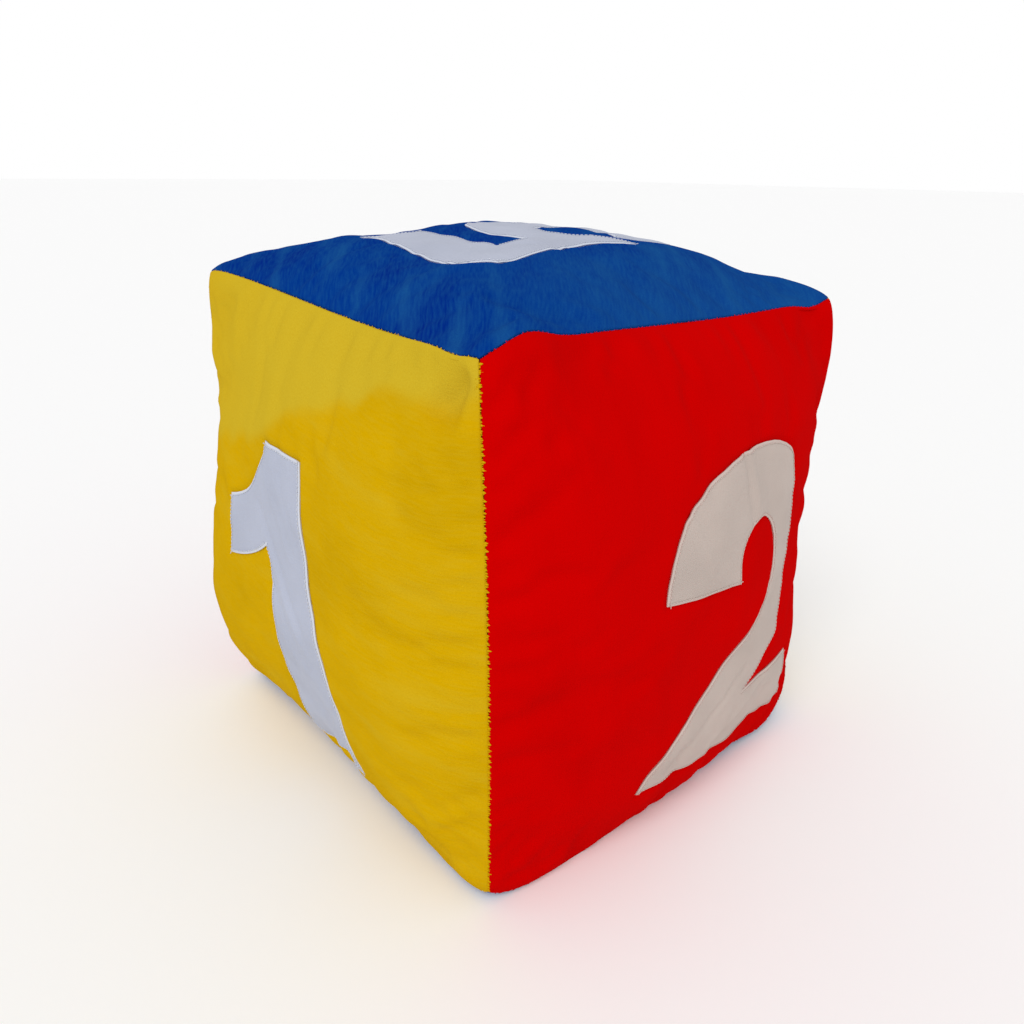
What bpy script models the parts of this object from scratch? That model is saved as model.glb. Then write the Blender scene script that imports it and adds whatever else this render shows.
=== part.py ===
# Giant soft dice: six plush panels sewn along twelve seams over a fibre stuffing,
# with a sewn-on numeral on each panel and an overlock thread binding inside each seam.
# Metres, +Z up. The part stands on its bottom panel, its origin at the bottom centre.
import math

import bmesh
import bpy
from mathutils import Vector
from mathutils.geometry import interpolate_bezier

# The sewn cover: seams run between eight corners
PANEL_EDGE = 0.400            # corner to corner, level
CORNER_HEIGHT = 0.416         # lower corners to upper corners
CORNER_TUCK = 0.030           # how far a corner is drawn in, as part of its distance from the middle
CORNER_SHARPNESS = 10         # more keeps the tuck closer to the corner

# How far the middle of each seam stands out of line: below 0 it is pulled in
UPRIGHT_SEAM_BOW = -0.004
TOP_SEAM_BOW = -0.005
TOP_SEAM_RISE = -0.002
BASE_SEAM_BOW = 0.006
BASE_SEAM_DROP = -0.006

# How far the middle of each panel stands proud of its seams
SIDE_CROWN = 0.050
TOP_CROWN = 0.050
BASE_CROWN = 0.040
CROWN_FULLNESS = 0.70         # 0 is a plain arch, more fills the crown towards the seams
SIDE_SAG = 0.12               # how much more the lower half of a side bellies than the upper
FLOOR_BELOW_CORNERS = 0.004   # the floor presses the bottom panel flat this far down

# Cloth, seams and thread
PLUSH = 0.003                 # backing and pile of a panel
SEAM_ALLOWANCE = 0.012        # turned inside, from the seam to the raw edge
SEAM_ROLL = 0.0035            # roll of the cloth where it turns into a seam
PANEL_LIFT = 0.0003           # each panel stands this far off the seam lines
FIT_GAP = 0.0003              # clearance between pieces that touch
THREAD_WALL = 0.0009          # overlock binding, thickness over the raw edges
THREAD_DEPTH = 0.003          # how far the binding reaches up each allowance
THREAD_GAP = 0.0007           # the binding stands this far off the cloth

# Stuffing
STUFFING_GAP = 0.0008         # clearance under the panels
TRENCH_WIDTH = 0.010          # half width of the trench that leaves room for a seam
TRENCH_SLOPE = 0.014          # width of each sloping side of the trench

# Numerals
NUMERAL_HEIGHT = 0.270
NUMERAL_SEAT = 0.0020         # how deep the pile is pressed down under a numeral
NUMERAL_SUNK = 0.0003         # the pile round a numeral stands this far above it
CUTTER_PROUD = 0.002          # the seat cutter passes this far out of the panel
ONE_SHIFT = (-0.012, -0.027)  # how far a numeral sits right of and above the middle
TWO_SHIFT = (0.030, -0.022)
FIVE_SHIFT = (0, -0.003)
NO_SHIFT = (0, 0)

EVEN_CELLS = 6                # rows of cells across a panel between the seam trenches
BEZIER_STEPS = 5              # straight runs for each curve of a numeral

YELLOW = (0.62, 0.37, 0.004)
RED = (0.55, 0.0, 0.001)
BLUE = (0.002, 0.045, 0.24)
NUMERAL_GREY = (0.50, 0.50, 0.54)
THREAD_WHITE = (0.80, 0.79, 0.76)
FIBRE_WHITE = (0.86, 0.86, 0.84)

HALF_EDGE = PANEL_EDGE / 2
FLOOR_DEPTH = CORNER_HEIGHT / 2 + FLOOR_BELOW_CORNERS
HEART_HEIGHT = FLOOR_DEPTH + PANEL_LIFT
TRENCH_LINE = 1 - TRENCH_WIDTH / HALF_EDGE
SHOULDER_LINE = TRENCH_LINE - TRENCH_SLOPE / HALF_EDGE

# A numeral is drawn in a box one unit high. Each loop starts at a point; a pair runs straight
# to the next point, a triple of pairs is a curve with its two handles. The outline runs
# clockwise, a hole in it counter-clockwise.
NUMERALS = {
    "1": [[(-0.03, 0.5), (0.16, 0.5), (0.30, -0.5), (0.05, -0.5),
           ((-0.03, -0.20), (-0.06, 0.05), (-0.04, 0.18)), ((-0.12, 0.12), (-0.24, 0.08), (-0.37, 0.05)),
           (-0.32, 0.26), ((-0.18, 0.29), (-0.07, 0.36), (-0.03, 0.5))]],
    "2": [[(-0.37, 0.15), ((-0.37, 0.36), (-0.22, 0.5), (0.03, 0.5)),
           ((0.20, 0.5), (0.29, 0.44), (0.29, 0.30)), ((0.29, 0.00), (0.19, -0.17), (0.05, -0.29)),
           (0.34, -0.28), (0.38, -0.5), (-0.38, -0.5),
           ((-0.30, -0.28), (-0.12, -0.15), (0.04, -0.08)), ((0.14, -0.02), (0.16, 0.30), (0.06, 0.29)),
           ((0.00, 0.28), (-0.05, 0.22), (-0.05, 0.12))]],
    "3": [[(-0.36, 0.22), ((-0.32, 0.42), (-0.14, 0.5), (0.02, 0.5)),
           ((0.20, 0.5), (0.33, 0.40), (0.33, 0.24)), ((0.33, 0.13), (0.30, 0.06), (0.25, 0.02)),
           ((0.32, -0.03), (0.36, -0.12), (0.36, -0.25)), ((0.36, -0.42), (0.24, -0.5), (0.02, -0.5)),
           ((-0.20, -0.5), (-0.34, -0.40), (-0.37, -0.20)), (-0.14, -0.14),
           ((-0.12, -0.22), (-0.07, -0.25), (0.00, -0.25)), ((0.18, -0.25), (0.18, -0.10), (0.00, -0.10)),
           (-0.20, -0.10), (-0.20, 0.11), (0.00, 0.11), ((0.17, 0.11), (0.17, 0.28), (0.02, 0.28)),
           ((-0.06, 0.28), (-0.11, 0.24), (-0.12, 0.17))]],
    "4": [[(0.02, 0.5), (0.24, 0.5), (0.24, -0.08), (0.37, -0.08), (0.37, -0.27), (0.24, -0.27),
           (0.24, -0.5), (0.01, -0.5), (0.01, -0.27), (-0.39, -0.27), (-0.39, -0.10)],
          [(0.01, -0.08), (0.01, 0.20), (-0.18, -0.08)]],
    "5": [[(-0.35, 0.46), (-0.30, 0.5), (0.30, 0.5), (0.30, 0.25), (-0.14, 0.25), (-0.12, 0.13),
           ((0.02, 0.13), (0.09, 0.13), (0.14, 0.12)), ((0.31, 0.09), (0.38, -0.02), (0.38, -0.17)),
           ((0.38, -0.38), (0.22, -0.5), (0.00, -0.5)), ((-0.20, -0.5), (-0.35, -0.42), (-0.38, -0.24)),
           (-0.14, -0.20), ((-0.12, -0.27), (-0.07, -0.30), (0.00, -0.30)),
           ((0.17, -0.30), (0.17, -0.06), (0.00, -0.06)), ((-0.07, -0.06), (-0.12, -0.08), (-0.14, -0.12)),
           (-0.31, -0.14), ((-0.28, 0.06), (-0.32, 0.26), (-0.35, 0.46))]],
    "6": [[(0.36, 0.27), (0.14, 0.21), ((0.12, 0.28), (0.08, 0.31), (0.02, 0.31)),
           ((-0.08, 0.31), (-0.14, 0.22), (-0.15, 0.08)), ((-0.10, 0.13), (-0.03, 0.15), (0.05, 0.15)),
           ((0.24, 0.15), (0.38, 0.04), (0.38, -0.17)), ((0.38, -0.38), (0.24, -0.5), (0.01, -0.5)),
           ((-0.24, -0.5), (-0.38, -0.34), (-0.38, -0.04)), ((-0.38, 0.26), (-0.26, 0.5), (0.03, 0.5)),
           ((0.19, 0.5), (0.31, 0.42), (0.36, 0.27))],
          [(0.00, -0.02), ((-0.10, -0.02), (-0.14, -0.09), (-0.14, -0.17)),
           ((-0.14, -0.27), (-0.08, -0.33), (0.00, -0.33)), ((0.10, -0.33), (0.14, -0.26), (0.14, -0.17)),
           ((0.14, -0.08), (0.09, -0.02), (0.00, -0.02))]],
}

# Each face: its name, the way out, the way right and the way up as its numeral is read,
# its plush, its numeral, the height of its crown and the shift of the numeral. The numbers
# run round the four sides, then top and bottom; the top one is upright from behind.
FACES = [
    ("front", (0, -1, 0), (1, 0, 0), (0, 0, 1), "yellow", "1", SIDE_CROWN, ONE_SHIFT),
    ("right", (1, 0, 0), (0, 1, 0), (0, 0, 1), "red", "2", SIDE_CROWN, TWO_SHIFT),
    ("back", (0, 1, 0), (-1, 0, 0), (0, 0, 1), "yellow", "3", SIDE_CROWN, NO_SHIFT),
    ("left", (-1, 0, 0), (0, -1, 0), (0, 0, 1), "red", "4", SIDE_CROWN, NO_SHIFT),
    ("top", (0, 0, 1), (-1, 0, 0), (0, -1, 0), "blue", "5", TOP_CROWN, FIVE_SHIFT),
    ("bottom", (0, 0, -1), (1, 0, 0), (0, -1, 0), "blue", "6", BASE_CROWN, NO_SHIFT),
]


def clear_scene():
    for old in list(bpy.data.objects):
        bpy.data.objects.remove(old, do_unlink=True)


def make_material(name, colour, roughness, sheen):
    material = bpy.data.materials.new(name)
    material.use_nodes = True
    shader = material.node_tree.nodes["Principled BSDF"]
    shader.inputs["Base Color"].default_value = (*colour, 1.0)
    shader.inputs["Roughness"].default_value = roughness
    shader.inputs["Metallic"].default_value = 0.0
    shader.inputs["Sheen Weight"].default_value = sheen
    return material


def yellow_plush():
    return make_material("yellow_plush", YELLOW, 0.90, 0.5)


def red_plush():
    return make_material("red_plush", RED, 0.90, 0.5)


def blue_plush():
    return make_material("blue_plush", BLUE, 0.90, 0.5)


def numeral_cloth():
    return make_material("numeral_cloth", NUMERAL_GREY, 0.80, 0.2)


def seam_thread():
    return make_material("seam_thread", THREAD_WHITE, 0.60, 0.0)


def stuffing_fibre():
    return make_material("stuffing_fibre", FIBRE_WHITE, 1.0, 0.0)


# The form of the cover. A place is a point on the surface of the cube from -1 to 1,
# so panels, stuffing and seams all read the same form.

def seam_bow(running_axis, bowed_axis, upper):
    if running_axis == 2:
        return UPRIGHT_SEAM_BOW
    if bowed_axis == 2:
        return TOP_SEAM_RISE if upper else BASE_SEAM_DROP
    return TOP_SEAM_BOW if upper else BASE_SEAM_BOW


def seam_line(place):
    """A point of a seam before its ends are tucked in, for a place on an edge of the cube."""
    point = Vector((place.x * HALF_EDGE, place.y * HALF_EDGE, place.z * CORNER_HEIGHT / 2))
    running_axis = min(range(3), key=lambda axis: abs(place[axis]))
    middle = 1 - place[running_axis] ** 2
    for axis in range(3):
        if axis != running_axis:
            bow = seam_bow(running_axis, axis, place.z > 0) * middle
            point[axis] += bow * math.copysign(1, place[axis])
    return point


def tucked(point, spread):
    """Drawn in towards a corner: spread is 1 at the corner and 0 in the middle of a panel."""
    return point * (1 - CORNER_TUCK * spread ** CORNER_SHARPNESS)


def seam_point(place):
    return tucked(seam_line(place), min(abs(place.x), abs(place.y), abs(place.z)))


def arch(t):
    return (1 - t * t) * (1 + CROWN_FULLNESS * t * t)


def sag(face, v):
    """The sides belly more below their middle; the top and bottom panels are even."""
    upright = face[1][2] == 0
    return 1 - SIDE_SAG * v if upright else 1


def skin_point(face, u, v):
    """A point of a panel's outer skin: the four seams blended across it, plus its crown."""
    out, right, up = Vector(face[1]), Vector(face[2]), Vector(face[3])

    def seam(s, t):
        return seam_line(out + right * s + up * t)

    across = seam(-1, v) * (1 - u) / 2 + seam(1, v) * (1 + u) / 2
    along = seam(u, -1) * (1 - v) / 2 + seam(u, 1) * (1 + v) / 2
    low = seam(-1, -1) * (1 - u) / 2 + seam(1, -1) * (1 + u) / 2
    high = seam(-1, 1) * (1 - u) / 2 + seam(1, 1) * (1 + u) / 2
    point = across + along - low * (1 - v) / 2 - high * (1 + v) / 2
    point += out * face[6] * arch(u) * arch(v) * sag(face, v)
    point = tucked(point, abs(u * v))
    point.z = max(point.z, -FLOOR_DEPTH)
    return point


def to_heart(point, distance):
    """A point moved straight towards the middle of the dice."""
    return point * (1 - distance / point.length)


def under_skin(face, u, v, depth):
    """A point on the way to the heart, at a depth measured square to the skin."""
    step = 0.01
    ends = [max(u - step, -1), min(u + step, 1), max(v - step, -1), min(v + step, 1)]
    across = skin_point(face, ends[1], v) - skin_point(face, ends[0], v)
    along = skin_point(face, u, ends[3]) - skin_point(face, u, ends[2])
    point = skin_point(face, u, v)
    square = across.cross(along).normalized().dot(point.normalized())
    return to_heart(point, depth / square)


def even_lines():
    return [SHOULDER_LINE * (2 * i / EVEN_CELLS - 1) for i in range(EVEN_CELLS + 1)]


def add_layer(bm, columns, rows, place_point, facing_out):
    """A grid of quads, all with the same diagonal whichever way they face."""
    grid = [[bm.verts.new(place_point(column, row)) for row in rows] for column in columns]
    for one, two in zip(grid, grid[1:]):
        for i in range(len(rows) - 1):
            corners = (one[i], two[i], two[i + 1], one[i + 1])
            bm.faces.new(corners if facing_out else (corners[0], corners[3], corners[2], corners[1]))
    return grid


def close_rim(bm, upper, lower):
    """Quads between the borders of two grids with equal numbers of lines."""
    def border(grid):
        last = len(grid[0]) - 1
        return ([column[0] for column in grid] + grid[-1][1:]
                + [column[last] for column in reversed(grid[:-1])] + grid[0][-2:0:-1])

    top, bottom = border(upper), border(lower)
    for i in range(len(top)):
        j = (i + 1) % len(top)
        bm.faces.new((top[j], top[i], bottom[i], bottom[j]))


def finish_object(bm, name, material, heart):
    """Quads are split along fixed diagonals, so stacked layers stay parallel."""
    bmesh.ops.remove_doubles(bm, verts=bm.verts, dist=1e-6)
    bmesh.ops.triangulate(bm, faces=bm.faces, quad_method="FIXED", ngon_method="BEAUTY")
    mesh = bpy.data.meshes.new(name)
    bm.to_mesh(mesh)
    bm.free()
    obj = bpy.data.objects.new(name, mesh)
    bpy.context.scene.collection.objects.link(obj)
    obj.parent = heart
    if material:
        mesh.materials.append(material)
        mesh.shade_smooth()
    return obj


def cut(obj, cutter, operation):
    boolean = obj.modifiers.new(operation.lower(), "BOOLEAN")
    boolean.operation = operation
    boolean.object = cutter
    boolean.solver = "EXACT"


def hide_cutter(obj):
    obj.hide_render = True
    obj.display_type = "WIRE"


# Numerals

def numeral_loops(digit, grow):
    """The loops of a numeral in metres, each side moved outwards by grow."""
    loops = []
    for drawn in NUMERALS[digit]:
        points = [Vector(drawn[0])]
        for step in drawn[1:]:
            if isinstance(step[0], tuple):
                handle_a, handle_b, end = (Vector(pair) for pair in step)
                curve = interpolate_bezier(points[-1], handle_a, handle_b, end, BEZIER_STEPS + 1)
                points += [point.xy for point in curve[1:]]
            else:
                points.append(Vector(step))
        if (points[-1] - points[0]).length < 1e-6:
            points.pop()
        loops.append(grown_loop([point * NUMERAL_HEIGHT for point in points], grow))
    return loops


def grown_loop(points, grow):
    """Each point moved out along the mean of its two sides; the cloth is on the right."""
    result = []
    for i, point in enumerate(points):
        before = (point - points[i - 1]).normalized()
        after = (points[(i + 1) % len(points)] - point).normalized()
        outward = Vector((-before.y - after.y, before.x + after.x)).normalized()
        spread = max(0.5, outward.dot(Vector((-before.y, before.x))))
        result.append(point + outward * grow / spread)
    return result


def numeral_block(face, grow, name, heart):
    """The outline of a numeral as a block that passes straight through its panel."""
    curve = bpy.data.curves.new(name, "CURVE")
    curve.dimensions = "2D"
    curve.fill_mode = "BOTH"
    curve.extrude = PANEL_EDGE / 4
    for loop in numeral_loops(face[5], grow):
        spline = curve.splines.new("POLY")
        spline.points.add(len(loop) - 1)
        for spot, point in zip(spline.points, loop):
            spot.co = (point.x, point.y, 0, 1)
        spline.use_cyclic_u = True
    outline = bpy.data.objects.new(name + "_outline", curve)
    bpy.context.scene.collection.objects.link(outline)
    mesh = bpy.data.meshes.new_from_object(outline)
    bpy.data.objects.remove(outline, do_unlink=True)

    bm = bmesh.new()
    bm.from_mesh(mesh)
    bmesh.ops.remove_doubles(bm, verts=bm.verts, dist=1e-6)
    bmesh.ops.recalc_face_normals(bm, faces=bm.faces)
    out, right, up = Vector(face[1]), Vector(face[2]), Vector(face[3])
    shift = face[7]
    for vert in bm.verts:
        x, y, z = vert.co
        vert.co = right * (x + shift[0]) + up * (y + shift[1]) + out * (z + HALF_EDGE)
    block = finish_object(bm, name, None, heart)
    hide_cutter(block)
    return block


def skin_slab(face, upper, lower, name, material, heart):
    """A slab between two depths under the even part of a panel's skin."""
    bm = bmesh.new()
    lines = even_lines()
    top = add_layer(bm, lines, lines, lambda u, v: under_skin(face, u, v, upper), True)
    bottom = add_layer(bm, lines, lines, lambda u, v: under_skin(face, u, v, lower), False)
    close_rim(bm, top, bottom)
    slab = finish_object(bm, name, material, heart)
    slab.location = Vector(face[1]) * PANEL_LIFT
    return slab


def make_numeral(face, material, heart):
    name = "numeral_" + face[5]
    numeral = skin_slab(face, NUMERAL_SUNK, NUMERAL_SEAT - FIT_GAP, name, material, heart)
    cut(numeral, numeral_block(face, -FIT_GAP / 2, name + "_block", heart), "INTERSECT")
    return numeral


def numeral_seat(face, heart):
    """The cutter that presses a numeral's seat into the pile."""
    name = "seat_" + face[5]
    seat = skin_slab(face, -CUTTER_PROUD, NUMERAL_SEAT, name, None, heart)
    cut(seat, numeral_block(face, FIT_GAP / 2, name + "_block", heart), "INTERSECT")
    hide_cutter(seat)
    return seat


# Cover, seams and stuffing

def panel_lines():
    """Grid lines of a panel: the place inside the trench, then the share of the way on
    to the seam and how far the cloth sinks there as it rolls in and turns inside."""
    roll = SEAM_ROLL / TRENCH_WIDTH
    turned = [(0, 0), (1 - roll, 0), (1 - roll / 4, SEAM_ROLL / 4), (1, SEAM_ROLL), (1, SEAM_ALLOWANCE)]
    before = [(-TRENCH_LINE, share, sink) for share, sink in reversed(turned)]
    after = [(TRENCH_LINE, share, sink) for share, sink in turned]
    return before + [(place, 0, 0) for place in even_lines()] + after


def line_place(line, inset):
    """Where a grid line runs when the seam is moved in by an inset."""
    return line[0] + math.copysign(line[1] * (1 - inset - TRENCH_LINE), line[0])


def allowance_inset(face, along, height):
    """How far inside the seam the inner side of the allowance runs, as part of half an edge."""
    slope = face[6] * 2 * (1 + CROWN_FULLNESS) * arch(along) * sag(face, height) / HALF_EDGE
    return PLUSH * math.sqrt(2) / (HALF_EDGE * (1 + slope))


def outer_cloth(face, column, row):
    u, v = line_place(column, 0), line_place(row, 0)
    return to_heart(skin_point(face, u, v), max(column[2], row[2]))


def inner_cloth(face, column, row):
    u, v = line_place(column, 0), line_place(row, 0)
    u = line_place(column, allowance_inset(face, v, v))
    v = line_place(row, allowance_inset(face, u, math.copysign(1, v)))
    if SEAM_ALLOWANCE in (column[2], row[2]):
        raw_edge = outer_cloth(face, column, row)
        return skin_point(face, u, v).normalized() * raw_edge.length
    return under_skin(face, u, v, PLUSH)


def make_panel(face, material, heart):
    """A panel with its four seam allowances turned inside and a seat for its numeral."""
    bm = bmesh.new()
    lines = panel_lines()
    outside = add_layer(bm, lines, lines, lambda column, row: outer_cloth(face, column, row), True)
    inside = add_layer(bm, lines, lines, lambda column, row: inner_cloth(face, column, row), False)
    close_rim(bm, outside, inside)
    panel = finish_object(bm, face[0] + "_panel", material, heart)
    panel.location = Vector(face[1]) * PANEL_LIFT
    cut(panel, numeral_seat(face, heart), "DIFFERENCE")
    return panel


def stuffing_point(face, u, v):
    """Just under the panel, or on the floor of the trench that clears the allowances."""
    if max(abs(u), abs(v)) < TRENCH_LINE:
        return under_skin(face, u, v, PLUSH + STUFFING_GAP)
    trench_depth = SEAM_ALLOWANCE + THREAD_GAP + THREAD_WALL + STUFFING_GAP
    return to_heart(skin_point(face, u, v), trench_depth)


def make_stuffing(material, heart):
    """One pillow of fibre under the panels."""
    bm = bmesh.new()
    lines = [-1, -TRENCH_LINE] + even_lines() + [TRENCH_LINE, 1]
    for face in FACES:
        add_layer(bm, lines, lines, lambda u, v: stuffing_point(face, u, v), True)
    return finish_object(bm, "fibre_stuffing", material, heart)


def binding_ring():
    """The U over the raw edges, as pairs: sideways and on towards the heart."""
    inner = PANEL_LIFT / math.sqrt(2) + PLUSH + THREAD_GAP
    outer = inner + THREAD_WALL
    half = [(outer, -THREAD_DEPTH), (outer, THREAD_GAP + THREAD_WALL), (inner, THREAD_GAP), (inner, -THREAD_DEPTH)]
    mirrored = [(-sideways, inward) for sideways, inward in half]
    return half[:2] + mirrored[1::-1] + mirrored[:1:-1] + half[2:]


def make_binding(name, start, end, material, heart):
    """Overlock thread over the two raw edges of the seam between two corners. It stops at
    the outermost even lines, short of the corners."""
    bm = bmesh.new()
    tangent = (end - start).normalized()
    rings = []
    for line in even_lines():
        centre = seam_point(start.lerp(end, (1 + line) / 2))
        inward = -centre.normalized()
        sideways = tangent.cross(inward).normalized()
        edge = to_heart(centre, SEAM_ALLOWANCE)
        rings.append([bm.verts.new(edge + sideways * s + inward * t) for s, t in binding_ring()])
    for one, two in zip(rings, rings[1:]):
        for i in range(len(one)):
            j = (i + 1) % len(one)
            bm.faces.new((one[i], one[j], two[j], two[i]))
    bm.faces.new(rings[0])
    bm.faces.new(rings[-1])
    bmesh.ops.recalc_face_normals(bm, faces=bm.faces)
    return finish_object(bm, name, material, heart)


def seam_ends():
    """The twelve seams: a name and the two corners of the cube that each one joins."""
    seams = []
    for one in range(len(FACES)):
        for two in range(one + 1, len(FACES)):
            first, second = Vector(FACES[one][1]), Vector(FACES[two][1])
            if first.dot(second) == 0:
                along = first.cross(second)
                name = "seam_binding_" + FACES[one][0] + "_" + FACES[two][0]
                seams.append((name, first + second - along, first + second + along))
    return seams


def build():
    clear_scene()
    heart = bpy.data.objects.new("dice_heart", None)
    bpy.context.scene.collection.objects.link(heart)
    heart.location = (0, 0, HEART_HEIGHT)
    plush = {"yellow": yellow_plush(), "red": red_plush(), "blue": blue_plush()}
    pale_cloth = numeral_cloth()
    thread = seam_thread()
    for face in FACES:
        make_panel(face, plush[face[4]], heart)
        make_numeral(face, pale_cloth, heart)
    for name, start, end in seam_ends():
        make_binding(name, start, end, thread, heart)
    make_stuffing(stuffing_fibre(), heart)


build()
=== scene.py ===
# %% [markdown]
# # A giant soft dice
# Six square panels of short plush, each crowned by the filling, are sewn to each other along
# twelve seams, and a cloth numeral is sewn to each. The imported frame holds one plain solid
# for each of those pieces. This lesson dresses them: the cover gets its lean, lumps, puckers
# and the brushing of its pile with bands of painted sheen, the numerals their woven cloth and
# stitches, and the seams their tufts.

# %% Load the frame
import math
from collections import namedtuple
from itertools import combinations

import bpy
import numpy as np
from mathutils import Matrix, Vector, noise


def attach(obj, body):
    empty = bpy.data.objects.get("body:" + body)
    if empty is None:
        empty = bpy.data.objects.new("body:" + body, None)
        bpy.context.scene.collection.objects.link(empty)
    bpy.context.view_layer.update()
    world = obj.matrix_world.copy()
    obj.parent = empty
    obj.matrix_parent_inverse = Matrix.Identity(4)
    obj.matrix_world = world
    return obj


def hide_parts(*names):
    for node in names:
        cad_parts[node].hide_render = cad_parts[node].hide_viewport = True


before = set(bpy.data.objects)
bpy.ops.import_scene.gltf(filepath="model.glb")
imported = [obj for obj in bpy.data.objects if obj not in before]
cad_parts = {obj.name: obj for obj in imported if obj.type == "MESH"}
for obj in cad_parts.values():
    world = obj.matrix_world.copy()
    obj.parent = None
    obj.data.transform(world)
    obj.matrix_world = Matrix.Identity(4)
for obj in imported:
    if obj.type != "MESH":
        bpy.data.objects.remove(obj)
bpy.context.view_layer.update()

# %% [markdown]
# ## The camera
# The photograph looks at an upright edge of the dice from above and close by, so the side
# panels narrow downwards. The camera could be turned by hand, but it is surer to build its
# three directions from the angle round the dice, the angle above the floor and a slight
# roll, and to put them into a matrix.

# %% Camera
PICTURE_WIDTH = 1024
FOCAL_PIXELS = 827
SENSOR_WIDTH = 36
VIEW_AZIMUTH = math.radians(48.38)
VIEW_ELEVATION = math.radians(22.6)
VIEW_ROLL = math.radians(0.83)
VIEW_DISTANCE = 0.8458
HEART = np.array([0, 0, 0.2123])  # the middle of the dice
AIM = HEART + (-0.0252, 0.0216, -0.0186)


def new_object(add, **settings):
    """Add one object with nothing else selected, and return it."""
    bpy.ops.object.select_all(action="DESELECT")
    add(**settings)
    return bpy.context.object


flat_reach = math.cos(VIEW_ELEVATION)
backward = Vector((math.sin(VIEW_AZIMUTH) * flat_reach, -math.cos(VIEW_AZIMUTH) * flat_reach,
                   math.sin(VIEW_ELEVATION)))
level = Vector((math.cos(VIEW_AZIMUTH), math.sin(VIEW_AZIMUTH), 0))
upward = backward.cross(level)
turn = Matrix((level, upward, backward)).transposed() @ Matrix.Rotation(VIEW_ROLL, 3, "Z")
camera = new_object(bpy.ops.object.camera_add, location=Vector(AIM) + backward * VIEW_DISTANCE,
                    rotation=turn.to_euler())
camera.data.sensor_width = SENSOR_WIDTH
camera.data.lens = FOCAL_PIXELS * SENSOR_WIDTH / PICTURE_WIDTH
bpy.context.scene.camera = camera
bpy.context.scene.view_settings.view_transform = "Standard"
print("camera at", tuple(round(x, 3) for x in camera.location))

# %% [markdown]
# ## Floor and light
# Plush shows its colour best in soft light, so most of the light comes from a pale sky all
# round. One wide sun from above the camera's left shoulder gives the folds their shade. Both
# are kept at a level at which a colour renders about as it is written. The sky looks pure
# white to the camera and to reflections, and the pale floor keeps the shadow of the dice.

# %% Floor and light
FLOOR_SIZE = 60
FLOOR_PLACE = (0, 0, -0.0006)  # just under the dice
FLOOR_FINISH = {"Base Color": (0.985, 0.985, 0.985, 1), "Roughness": 0.9, "Specular IOR Level": 0.1}
WHITE = (1, 1, 1, 1)
SKY_STRENGTH = 0.70
SUN_STRENGTH = 1.15
SUN_SOFTNESS = math.radians(35)
SUN_PLACE = (0, -2, 3)
SUN_TURN = (math.radians(42), 0, math.radians(32))


def add_node(tree, kind, **values):
    """A node with values for its inputs, by name, or its settings, in small letters."""
    new = tree.nodes.new(kind)
    for name, value in values.items():
        if name in new.inputs:
            new.inputs[name].default_value = value
        else:
            setattr(new, name, value)
    return new


def start_material(name, finish):
    """A new material whose shader has the constants of a finish."""
    material = bpy.data.materials.new(name)
    material.use_nodes = True
    shader = material.node_tree.nodes["Principled BSDF"]
    for socket_name, value in finish.items():
        shader.inputs[socket_name].default_value = value
    return material, material.node_tree, shader


floor = new_object(bpy.ops.mesh.primitive_plane_add, size=FLOOR_SIZE, location=FLOOR_PLACE)
floor.name = "studio_floor"
floor.data.materials.append(start_material("pale_floor", FLOOR_FINISH)[0])

sun = new_object(bpy.ops.object.light_add, type="SUN", location=SUN_PLACE, rotation=SUN_TURN)
sun.data.energy = SUN_STRENGTH
sun.data.angle = SUN_SOFTNESS

world = bpy.data.worlds.new("white_studio")
bpy.context.scene.world = world
world.use_nodes = True
sky = world.node_tree
sky.nodes.clear()
rays = add_node(sky, "ShaderNodeLightPath")
seen = rays.outputs["Is Camera Ray"]
for other_rays in ("Is Glossy Ray", "Is Transmission Ray"):
    either = add_node(sky, "ShaderNodeMath", operation="MAXIMUM")
    sky.links.new(seen, either.inputs[0])
    sky.links.new(rays.outputs[other_rays], either.inputs[1])
    seen = either.outputs[0]
lighting = add_node(sky, "ShaderNodeBackground", Color=WHITE, Strength=SKY_STRENGTH)
backdrop = add_node(sky, "ShaderNodeBackground", Color=WHITE, Strength=1)
blend = add_node(sky, "ShaderNodeMixShader")
for number, socket in enumerate((seen, lighting.outputs[0], backdrop.outputs[0])):
    sky.links.new(socket, blend.inputs[number])
sky.links.new(blend.outputs[0], add_node(sky, "ShaderNodeOutputWorld").inputs["Surface"])
print("sky strength:", SKY_STRENGTH, "sun strength:", SUN_STRENGTH)

# %% [markdown]
# ## The form of the cover
# Every piece reads one form: the panels are the form, the filling is the form a little
# smaller, the numerals lie on it and the seams are its edges. So it is written once, as a
# function from a place on the cube to a point. Each seam is a line between two corners,
# pulled a little in or out at its middle. A panel is stretched between its four seams and
# bulges out by its crown. A real stuffed cube also leans and twists, so corners are shifted,
# most seams bow and slant, and the panels in view have broad swells and hollows.

# %% The even cube
HALF_EDGE = 0.200
CORNER_HEIGHT = 0.416
CORNER_TUCK = 0.030
CORNER_SHARPNESS = 10
UPRIGHT_SEAM_BOW = -0.004
TOP_SEAM_BOW = -0.005
TOP_SEAM_RISE = -0.002
BASE_SEAM_BOW = 0.006
BASE_SEAM_DROP = -0.006
CROWN_FULLNESS = 0.70
SIDE_SAG = 0.12
SWELL_SHARPNESS = 8  # how close to a seam a swell reaches before it fades
FLOOR_DEPTH = 0.212
PANEL_LIFT = 0.0003

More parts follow.
